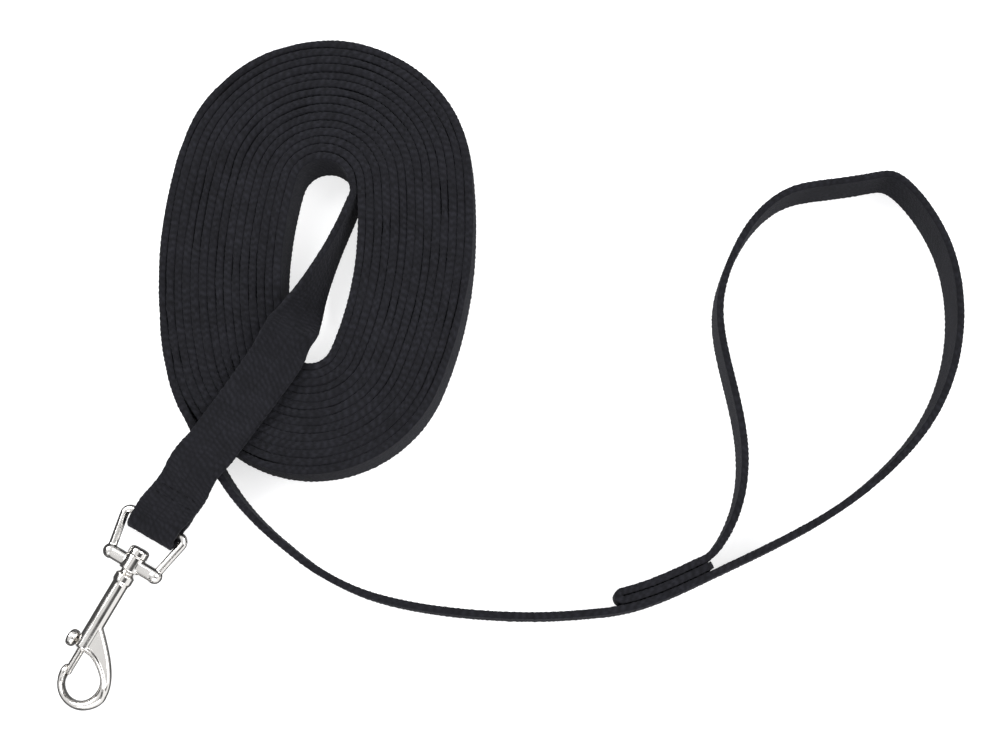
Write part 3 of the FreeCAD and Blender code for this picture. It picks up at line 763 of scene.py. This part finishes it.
def build_lead_and_handle(whole, leave, lead_bend, handle_bend, material):
    """The lead from the coil's rim and the hand loop, split midway between their hinges."""
    split = (whole.nearest(lead_bend[:2]) + whole.nearest(handle_bend[:2])) // 2
    lead = web_piece("webbing_lead", whole.part(leave, split), FACE_FINE, EDGE_POINTS)
    dress(lead, material, None)
    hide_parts("web_lead_run")
    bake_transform(lead)

    last = len(whole.middle) - 1
    handle = web_piece("webbing_handle", whole.part(split, last), FACE_FINE, EDGE_POINTS)
    dress(handle, material, None)
    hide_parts("web_handle")
    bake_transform(handle)


def build_strap(line, material):
    """The crossing, which lies still on the coil, and the snap end, which comes off it to the bar."""
    strap = strap_strip(line, FINE_STEP)
    lift = np.array(joint("strap_lift")["pos_m"])
    seam = strap.step_back(strap.nearest(lift), STRAP_OVERLAP)
    crossing = web_piece("webbing_crossing", strap.part(0, seam), FACE_FINE, EDGE_POINTS)
    dress(crossing, material, "coil")
    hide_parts("web_snap_run")

    last = len(strap.middle) - 1
    snap_end = web_piece("webbing_snap_end", strap.part(seam, last), FACE_FINE, EDGE_POINTS)
    dress(snap_end, material, None)
    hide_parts("web_snap_end")
    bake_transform(snap_end)


def build_webbing(material):
    line = standing_line()
    lead_bend = np.array(joint("lead_bend")["pos_m"])
    handle_bend = np.array(joint("handle_bend")["pos_m"])
    whole = standing_strip(line, FINE_STEP)
    leave = whole.step_back(whole.nearest(lead_bend[:2]), LEAD_OVERLAP)
    loosen(whole, leave)
    build_coil(whole, leave, material)
    build_lead_and_handle(whole, leave, lead_bend, handle_bend, material)
    build_strap(line, material)


def stitch_loops(node):
    """Each stitch of a CAD node as (centre, along, through, half length, half depth)."""
    mesh = frame["nodes"][node].data
    co = np.array([v.co for v in mesh.vertices])
    group = np.arange(len(co))
    place = {}
    for i, point in enumerate(np.round(co, 6)):
        group[i] = place.setdefault(tuple(point), i)

    def root(i):
        while group[i] != i:
            i = group[i]
        return i

    for face in mesh.polygons:
        first = root(face.vertices[0])
        for i in face.vertices[1:]:
            group[root(i)] = first
    roots = np.array([root(i) for i in range(len(co))])
    loops = []
    for one in np.unique(roots):
        points = co[roots == one]
        centre = (points.min(axis=0) + points.max(axis=0)) / 2
        _, axes = np.linalg.eigh(np.cov((points - centre).T))
        spread = np.abs((points - centre) @ axes).max(axis=0)
        order = np.argsort(spread)
        loops.append((centre, axes[:, order[1]], axes[:, order[2]], spread[order[1]],
                      spread[order[2]]))
    return loops


def thread_loop(centre, along, through, length, depth):
    """The points round one stitch's thread: a square-shouldered loop, crowned on the cloth."""
    across = np.cross(along, through)
    turn = np.linspace(0.0, 2 * math.pi, STITCH_POINTS, endpoint=False)
    x = np.sign(np.cos(turn)) * np.abs(np.cos(turn)) ** 0.35 * (length - THREAD)
    depth = depth - CAD_THREAD_PROUD + THREAD_PROUD
    y = np.sign(np.sin(turn)) * np.abs(np.sin(turn)) ** 0.22 * (depth - THREAD)
    path = centre + np.outer(x, along) + np.outer(y, through)
    outward = unit(np.outer(x / length ** 2, along) + np.outer(y / depth ** 2, through))
    verts = []
    for point, out in zip(path, outward):
        for k in range(THREAD_SIDES):
            angle = 2 * math.pi * k / THREAD_SIDES
            verts.append(point + (out * math.cos(angle) + across * math.sin(angle)) * THREAD)
    return verts


def loop_faces(base):
    """The faces of a thread loop whose points start at an index."""
    faces = []
    count = STITCH_POINTS * THREAD_SIDES
    for i in range(STITCH_POINTS):
        for k in range(THREAD_SIDES):
            a = i * THREAD_SIDES + k
            b = i * THREAD_SIDES + (k + 1) % THREAD_SIDES
            c = (a + THREAD_SIDES) % count
            d = (b + THREAD_SIDES) % count
            faces.append([base + a, base + b, base + d, base + c])
    return faces


def thread_piece(node, name, material, body):
    """Round thread through the cloth in place of a node's flat stitches."""
    verts = []
    faces = []
    for stitch in stitch_loops(node):
        faces.extend(loop_faces(len(verts)))
        verts.extend(thread_loop(*stitch))
    mesh = bpy.data.meshes.new(name)
    mesh.from_pydata([tuple(v) for v in verts], [], faces)
    mesh.polygons.foreach_set("use_smooth", [True] * len(faces))
    piece = new_object(name, mesh)
    dress(piece, material, body)
    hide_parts(node)


def build_snap(nickel, steel):
    for node, name, voxel, rounds, body in CASTINGS:
        piece = cast_copy(node, name, voxel, rounds, nickel)
        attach(piece, body)
    for node in ("latch_bolt", "thumb_knob"):
        frame["nodes"][node].data.materials.clear()
        frame["nodes"][node].data.materials.append(nickel)
    build_spring(steel)


def build_spring(steel):
    """The bolt's spring: a smooth-shaded copy of the CAD spring in steel, carried with the snap."""
    mesh = frame["nodes"]["latch_spring"].data.copy()
    mesh.polygons.foreach_set("use_smooth", [True] * len(mesh.polygons))
    spring = new_object("bolt_spring", mesh)
    dress(spring, steel, "snap")
    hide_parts("latch_spring")
    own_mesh(spring)


def build_stage():
    mesh = bpy.data.meshes.new("floor")
    corners = [(x * FLOOR_HALF, y * FLOOR_HALF, 0) for x, y in ((-1, -1), (1, -1), (1, 1), (-1, 1))]
    mesh.from_pydata(corners, [], [(0, 1, 2, 3)])
    floor = new_object("floor", mesh)
    floor.location.z = -FLOOR_DROP
    mesh.materials.append(floor_material())


def area_light(name, place, target, size, power):
    light = bpy.data.lights.new(name, "AREA")
    light.shape = "RECTANGLE"
    light.size, light.size_y = size
    light.energy = power
    lamp = new_object(name, light)
    lamp.location = place
    lamp.rotation_euler = (Vector(target) - Vector(place)).to_track_quat("-Z", "Y").to_euler()


def build_light():
    for lamp in LAMPS:
        area_light(*lamp)
    build_surroundings()


def build_surroundings():
    """Plain pale light all round; what the metal mirrors is a studio with dark gaps in it."""
    n = Nodes(bpy.data.worlds.new("studio"))
    bpy.context.scene.world = n.owner
    ray = n.node("ShaderNodeLightPath").outputs
    room = n.mix(ray["Is Glossy Ray"], ROOM_LIGHT, studio_shade(n))
    seen = n.mix(ray["Is Camera Ray"], room, gray(1.0))
    back = n.node("ShaderNodeBackground", {"Color": seen, "Strength": 1.0})
    n.finish(back.outputs["Background"], "ShaderNodeOutputWorld")


def studio_shade(n):
    """How bright the studio is in a direction, by its turn round the line of softboxes."""
    direction = n.node("ShaderNodeTexCoord").outputs["Generated"]
    across = n.node("ShaderNodeVectorMath", {0: direction, 1: STUDIO_ACROSS}, operation="DOT_PRODUCT")
    up = n.node("ShaderNodeSeparateXYZ", {"Vector": direction}).outputs["Z"]
    turn = n.math("ARCTAN2", across.outputs["Value"], up)
    noise = n.noise(direction, 1.7)
    warp = n.math("MULTIPLY_ADD", noise, STUDIO_WARP, 0.5 - STUDIO_WARP / 2)
    ramp = n.node("ShaderNodeValToRGB", {"Fac": n.math("MULTIPLY_ADD", turn, 0.5 / math.pi, warp)})
    stops = ramp.color_ramp.elements
    while len(stops) > 1:
        stops.remove(stops[-1])
    stops[0].position = STUDIO[0][0]
    stops[0].color = gray(STUDIO[0][1])
    for position, shade in STUDIO[1:]:
        stops.new(position).color = gray(shade)
    return ramp.outputs["Color"]


def build_camera():
    data = bpy.data.cameras.new("camera")
    data.lens = CAMERA_LENS
    data.sensor_width = 36.0
    data.clip_start = 0.01
    camera = new_object("camera", data)
    back = (CAMERA_AT - CAMERA_LOOKS_AT).normalized()
    right = Vector((0.0, 1.0, 0.0)).cross(back).normalized()
    camera.matrix_world = Matrix.Translation(CAMERA_AT) @ Matrix(
        (right, back.cross(right), back)).transposed().to_4x4()
    bpy.context.scene.camera = camera


def set_view():
    view = bpy.context.scene.view_settings
    view.view_transform = "Standard"
    view.look = "None"
    view.exposure = 0.0


def main():
    web = webbing_material()
    thread = thread_material()
    nickel = metal_material("nickel", NICKEL_TINT, 0.15, 0.15)
    steel = metal_material("spring_steel", STEEL_TINT, 0.22, 0.2)
    build_webbing(web)
    build_snap(nickel, steel)
    thread_piece("handle_stitching", "handle_threads", thread, "handle")
    thread_piece("snap_end_stitching", "snap_end_threads", thread, "snap_strap")
    build_stage()
    build_light()
    build_camera()
    set_view()


main()
